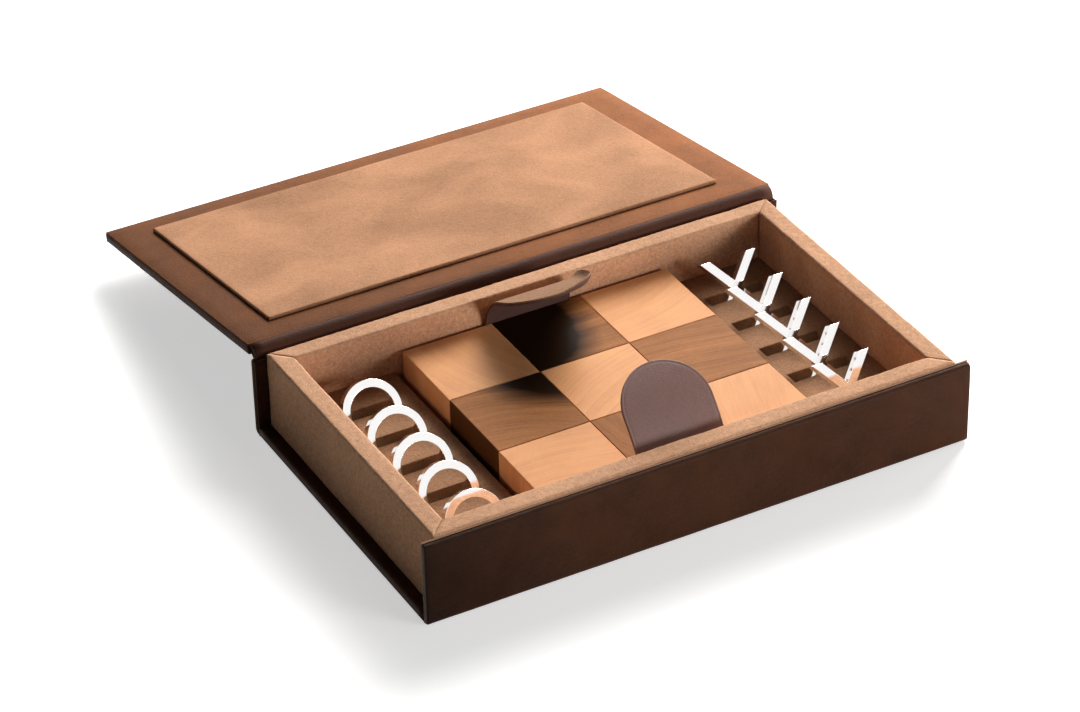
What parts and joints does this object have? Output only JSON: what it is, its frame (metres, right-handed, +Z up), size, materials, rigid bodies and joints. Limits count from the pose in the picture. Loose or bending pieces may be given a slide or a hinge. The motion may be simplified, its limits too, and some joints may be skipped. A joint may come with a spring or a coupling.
{
  "type": "tic-tac-toe case",
  "caption": "Leather-covered case with a hinged lid, a lift-out wooden tic-tac-toe board with pull tabs, and metal rings and crosses in slotted suede inserts.",
  "frame": {"origin": "centre of the case's flat bottom face", "axes": "+X to the right along the hinge, +Y from the front to the hinge and the open lid, +Z up"},
  "size_m": [0.297, 0.3641, 0.0696],
  "materials": {
    "outer_leather": "smooth dark brown leather, slight grain",
    "lining_leather": "matte tan brown lining leather",
    "tray_suede": "brushed tan suede",
    "pad_suede": "brushed pale tan suede",
    "greyboard": null,
    "fibreboard": "medium density fibreboard",
    "maple": "satin maple",
    "walnut": "satin walnut",
    "tab_leather": "matte dark brown leather",
    "tab_suede": "brushed tan suede",
    "polished_metal": "mirror polished"
  },
  "bodies": {
    "case": {"bottom_leather": "outer_leather", "front_leather": "outer_leather", "spine_leather": "outer_leather", "hinge_leather": "outer_leather", "front_lining": "lining_leather", "spine_lining": "lining_leather", "hinge_lining": "lining_leather", "front_wall_suede": "tray_suede", "rear_wall_suede": "tray_suede", "left_wall_suede": "tray_suede", "right_wall_suede": "tray_suede", "floor_suede": "tray_suede", "ring_insert_suede": "tray_suede", "cross_insert_suede": "tray_suede", "bottom_board": "greyboard", "front_board": "greyboard", "spine_board": "greyboard", "front_wall": "fibreboard", "rear_wall": "fibreboard", "left_wall": "fibreboard", "right_wall": "fibreboard", "ring_insert": "fibreboard", "cross_insert": "fibreboard"},
    "lid": {"lid_board": "greyboard", "lid_leather": "outer_leather", "lid_lining": "lining_leather", "pad_board": "greyboard", "pad_suede": "pad_suede"},
    "playing_board": {"base_panel": "fibreboard", "maple_front_left": "maple", "walnut_front_centre": "walnut", "maple_front_right": "maple", "walnut_middle_left": "walnut", "maple_middle_centre": "maple", "walnut_middle_right": "walnut", "maple_rear_left": "maple", "walnut_rear_centre": "walnut", "maple_rear_right": "maple", "front_tab_leather": "tab_leather", "front_tab_suede": "tab_suede", "rear_tab_leather": "tab_leather", "rear_tab_suede": "tab_suede"},
    "ring_1": {"ring_1": "polished_metal"},
    "ring_2": {"ring_2": "polished_metal"},
    "ring_3": {"ring_3": "polished_metal"},
    "ring_4": {"ring_4": "polished_metal"},
    "ring_5": {"ring_5": "polished_metal"},
    "cross_1": {"cross_1": "polished_metal"},
    "cross_2": {"cross_2": "polished_metal"},
    "cross_3": {"cross_3": "polished_metal"},
    "cross_4": {"cross_4": "polished_metal"},
    "cross_5": {"cross_5": "polished_metal"}
  },
  "joints": [
    {"name": "lid_hinge", "type": "hinge", "parent": "case", "child": "lid", "pos_m": [0, 0.0911, 0.0488], "axis": [-1, 0, 0], "range_deg": [-189.65, 0], "deforming": ["hinge_leather", "hinge_lining", "front_tab_leather", "front_tab_suede", "rear_tab_leather", "rear_tab_suede"]},
    {"name": "board_lift", "type": "slide", "parent": "case", "child": "playing_board", "axis": [0, 0, 1], "range_m": [0, 0.05]},
    {"name": "ring_1_lift", "type": "slide", "parent": "case", "child": "ring_1", "axis": [0, 0.5299, 0.848], "range_m": [0, 0.05]},
    {"name": "ring_2_lift", "type": "slide", "parent": "case", "child": "ring_2", "axis": [0, 0.5299, 0.848], "range_m": [0, 0.05]},
    {"name": "ring_3_lift", "type": "slide", "parent": "case", "child": "ring_3", "axis": [0, 0.5299, 0.848], "range_m": [0, 0.05]},
    {"name": "ring_4_lift", "type": "slide", "parent": "case", "child": "ring_4", "axis": [0, 0.5299, 0.848], "range_m": [0, 0.05]},
    {"name": "ring_5_lift", "type": "slide", "parent": "case", "child": "ring_5", "axis": [0, 0.5299, 0.848], "range_m": [0, 0.05]},
    {"name": "cross_1_lift", "type": "slide", "parent": "case", "child": "cross_1", "axis": [0, 0.5446, 0.8387], "range_m": [0, 0.05]},
    {"name": "cross_2_lift", "type": "slide", "parent": "case", "child": "cross_2", "axis": [0, 0.5446, 0.8387], "range_m": [0, 0.05]},
    {"name": "cross_3_lift", "type": "slide", "parent": "case", "child": "cross_3", "axis": [0, 0.5446, 0.8387], "range_m": [0, 0.05]},
    {"name": "cross_4_lift", "type": "slide", "parent": "case", "child": "cross_4", "axis": [0, 0.5446, 0.8387], "range_m": [0, 0.05]},
    {"name": "cross_5_lift", "type": "slide", "parent": "case", "child": "cross_5", "axis": [0, 0.5446, 0.8387], "range_m": [0, 0.05]}
  ]
}
